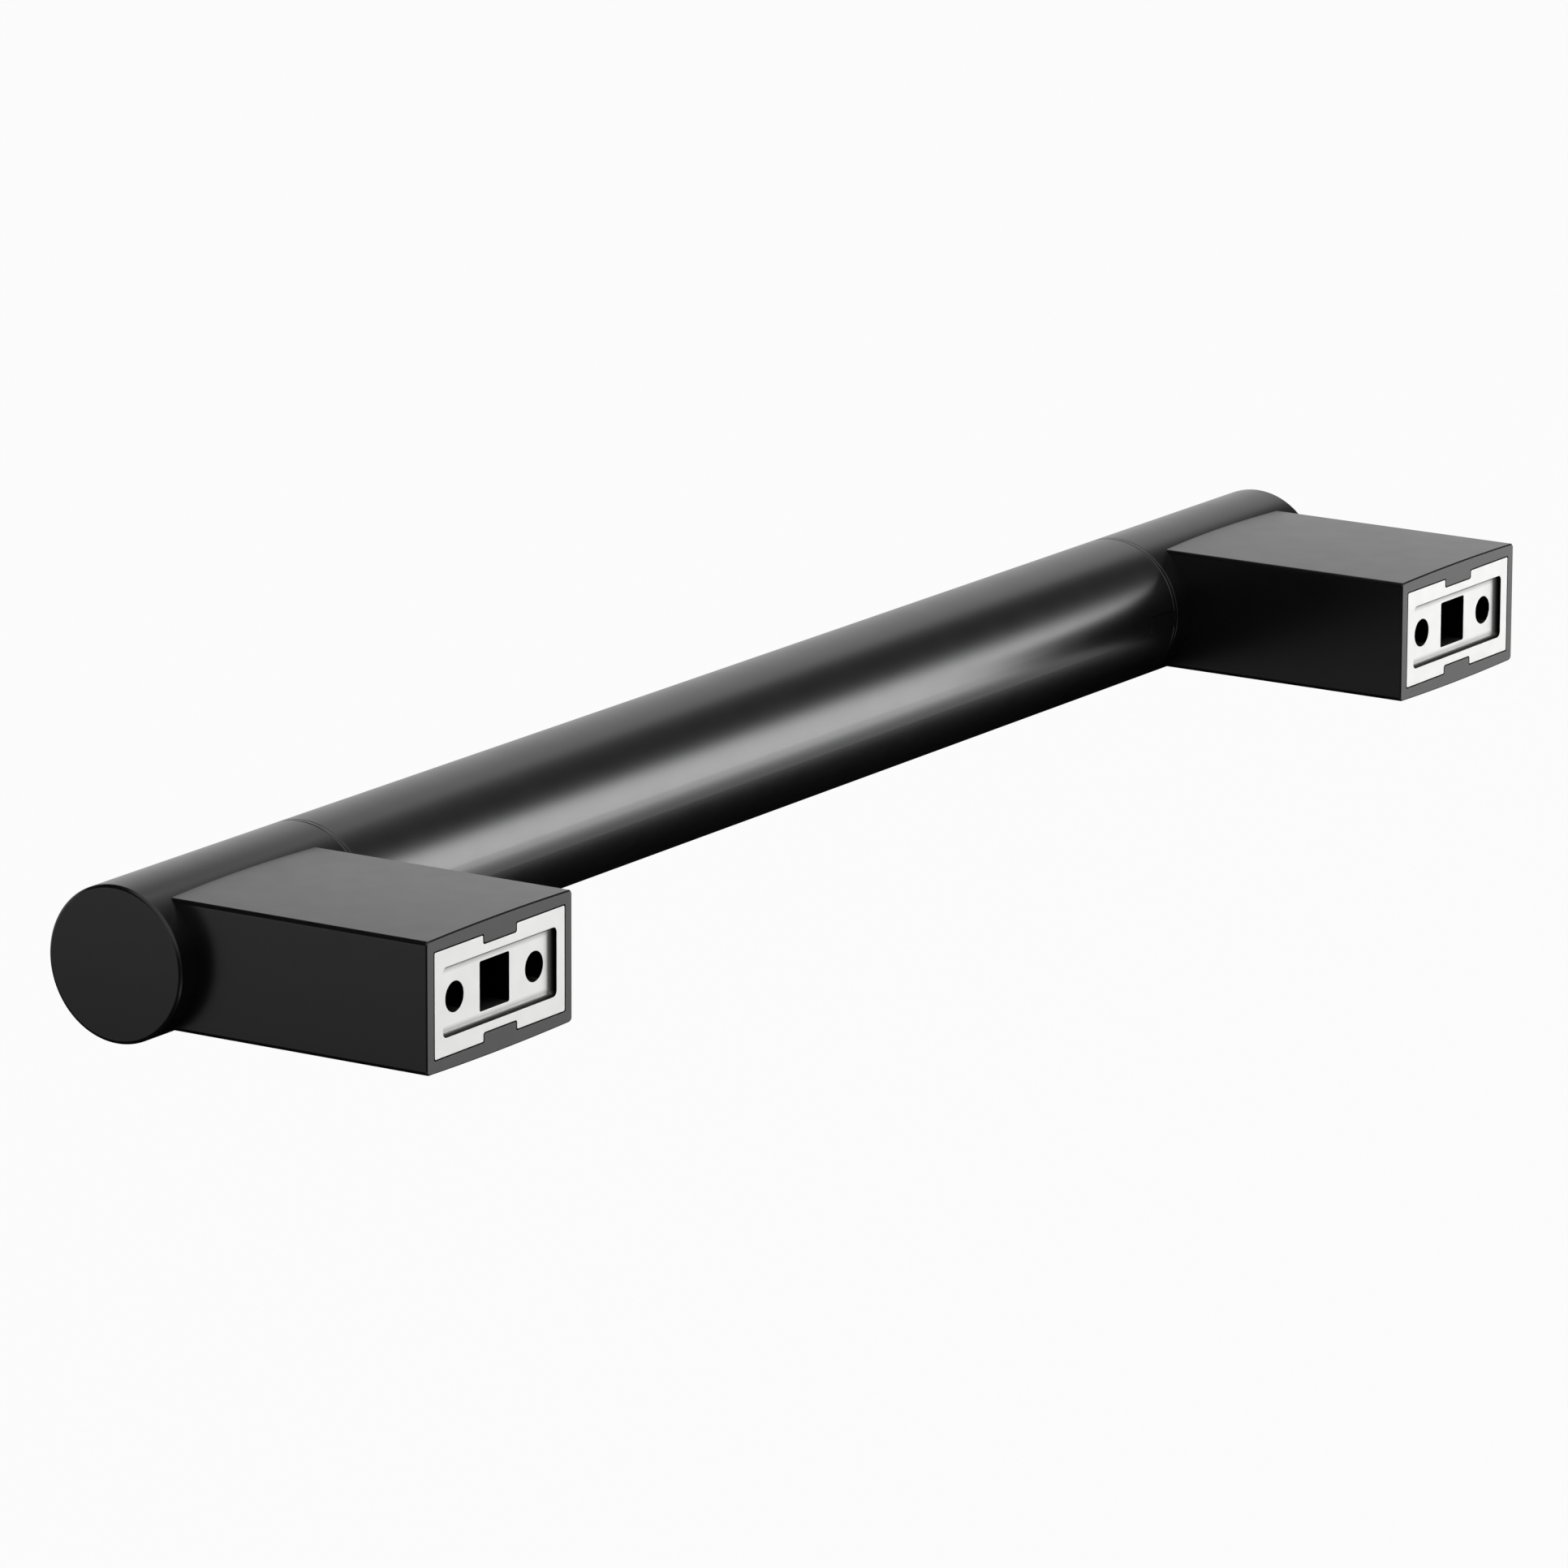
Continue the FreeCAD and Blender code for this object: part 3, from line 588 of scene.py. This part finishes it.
cameraPlace = {"azimuth": 123.0404, "elevation": 13.8532, "roll": 0.215, "distance": 2.3023,
               "target": (0.034, -0.036, 0.003316), "lens": 247.718, "sensor": 36.0, "clipEnd": 100.0}


def makeCamera():
    s = cameraPlace
    az, el, roll = radians(s["azimuth"]), radians(s["elevation"]), radians(s["roll"])
    back = Vector((sin(az) * cos(el), -cos(az) * cos(el), sin(el)))
    right = Vector((0, 0, 1)).cross(back).normalized()
    up = back.cross(right)
    rolledRight = right * cos(roll) + up * sin(roll)
    rolledUp = back.cross(rolledRight)
    turn = Matrix((rolledRight, rolledUp, back)).transposed().to_4x4()
    data = bpy.data.cameras.new("camera")
    data.lens = s["lens"]
    data.sensor_width = s["sensor"]
    data.clip_end = s["clipEnd"]
    camera = bpy.data.objects.new("camera", data)
    camera.matrix_world = Matrix.Translation(Vector(s["target"]) + back * s["distance"]) @ turn
    bpy.context.scene.collection.objects.link(camera)
    bpy.context.scene.camera = camera


makeCamera()


# studio: white floor and surroundings, one large softbox on the wall side, dark cards round the rest

floorLook = {"Base Color": (0.85, 0.85, 0.85, 1), "Roughness": 0.9}
cardLook = {"Base Color": (0.002, 0.002, 0.002, 1), "Roughness": 1.0, "Specular IOR Level": 0.0}
studio = {"floorHeight": -1.05, "floorReach": 20.0, "floorGlow": 0.93, "glow": 1.0,
          "ambient": 0.55, "backdrop": 0.965}
softboxes = {
    "core": {"place": (-4.65, 3.72, 0.2), "size": (2.5, 2.8), "radiance": 2.95},
    "middle": {"place": (-4.67, 3.73, 0.15), "size": (3.2, 3.9), "radiance": 1.45},
    "halo": {"place": (-4.69, 3.75, 0.15), "size": (4.2, 4.7), "radiance": 0.95},
}
cards = {
    "under": {"place": (0.025, -0.45, -0.3), "size": (2.15, 1.5), "facing": (0, 0, 1)},
    "behindCamera": {"place": (2.2, 1.45, -0.35), "size": (2.0, 1.9), "facing": (-0.81, -0.53, 0.1)},
    "overhead": {"place": (0.85, -0.85, 0.5), "size": (2.6, 1.3), "facing": (0, 0, -1)},
    "roomSide": {"place": (1.6, -1.05, 0.5), "size": (2.0, 0.86), "facing": (-0.84, 0.54, 0)},
    "barEnd": {"place": (2.0, 0.12, -0.55), "size": (1.2, 1.1), "facing": (-0.96, -0.05, 0.27)},
    "wallSide": {"place": (1.3, 2.0, -0.4), "size": (2.4, 2.0), "facing": (-0.54, -0.82, 0.18)},
    "above": {"place": (-1.7, 0.52, 1.15), "size": (1.6, 0.95), "facing": (0.81, -0.22, -0.54)},
}


def seenDirectly(nodes, links):
    # 1 for camera, glossy and transmission rays, 0 for the light that falls on things
    path = nodes.new("ShaderNodeLightPath")
    total = path.outputs["Is Camera Ray"]
    for name in ("Is Glossy Ray", "Is Transmission Ray"):
        larger = nodes.new("ShaderNodeMath")
        larger.operation = "MAXIMUM"
        links.new(total, larger.inputs[0])
        links.new(path.outputs[name], larger.inputs[1])
        total = larger.outputs[0]
    return total


def makeFloor():
    s = studio
    bm = bmesh.new()
    bmesh.ops.create_grid(bm, x_segments=1, y_segments=1, size=s["floorReach"],
                          matrix=Matrix.Translation((0, 0, s["floorHeight"])))
    floor = makeObject(bm, "floor")
    material, shader = newMaterial("paleFloor", floorLook)
    nodes, links = material.node_tree.nodes, material.node_tree.links
    glow = nodes.new("ShaderNodeEmission")
    glow.inputs["Strength"].default_value = s["glow"]
    share = nodes.new("ShaderNodeMath")
    share.operation = "MULTIPLY"
    share.inputs[1].default_value = s["floorGlow"]
    links.new(seenDirectly(nodes, links), share.inputs[0])
    mix = nodes.new("ShaderNodeMixShader")
    links.new(share.outputs[0], mix.inputs[0])
    links.new(shader.outputs[0], mix.inputs[1])
    links.new(glow.outputs[0], mix.inputs[2])
    clear = nodes.new("ShaderNodeBsdfTransparent")  # a view from below looks through the floor
    side = nodes.new("ShaderNodeNewGeometry")
    lower = nodes.new("ShaderNodeMixShader")
    links.new(side.outputs["Backfacing"], lower.inputs[0])
    links.new(mix.outputs[0], lower.inputs[1])
    links.new(clear.outputs[0], lower.inputs[2])
    links.new(lower.outputs[0], nodes["Material Output"].inputs["Surface"])
    dress(floor, material)


def makeWorld():
    world = bpy.data.worlds.new("studio")
    bpy.context.scene.world = world
    world.use_nodes = True
    nodes, links = world.node_tree.nodes, world.node_tree.links
    level = nodes.new("ShaderNodeMapRange")
    level.inputs["To Min"].default_value = studio["ambient"]
    level.inputs["To Max"].default_value = studio["backdrop"]
    links.new(seenDirectly(nodes, links), level.inputs["Value"])
    nodes["Background"].inputs["Color"].default_value = (1, 1, 1, 1)
    links.new(level.outputs[0], nodes["Background"].inputs["Strength"])


def makeSoftboxes():
    # a bright core with a wider, weaker halo, so that the light fades towards its edge
    for name, s in softboxes.items():
        data = bpy.data.lights.new(name, "AREA")
        data.shape = "RECTANGLE"
        data.size, data.size_y = s["size"]
        data.energy = s["radiance"] * pi * s["size"][0] * s["size"][1]
        lamp = bpy.data.objects.new(name + "Softbox", data)
        lamp.location = s["place"]
        lamp.rotation_euler = (-Vector(s["place"])).to_track_quat("-Z", "Y").to_euler()
        bpy.context.scene.collection.objects.link(lamp)


def makeCards():
    # black cards that only reflections see
    black = newMaterial("blackCard", cardLook)[0]
    for name, s in cards.items():
        bm = bmesh.new()
        bmesh.ops.create_grid(bm, x_segments=1, y_segments=1, size=0.5)
        bmesh.ops.scale(bm, vec=(s["size"][0], s["size"][1], 1), verts=bm.verts)
        turn = Vector(s["facing"]).to_track_quat("Z", "Y").to_matrix().to_4x4()  # height is the second size
        bmesh.ops.transform(bm, matrix=Matrix.Translation(s["place"]) @ turn, verts=bm.verts)
        card = makeObject(bm, name + "Card")
        card.visible_camera = False
        card.visible_diffuse = False
        card.visible_transmission = False
        card.visible_shadow = False
        dress(card, black)


makeFloor()
makeWorld()
makeSoftboxes()
makeCards()
bpy.context.scene.view_settings.view_transform = "Standard"
print("studio made")
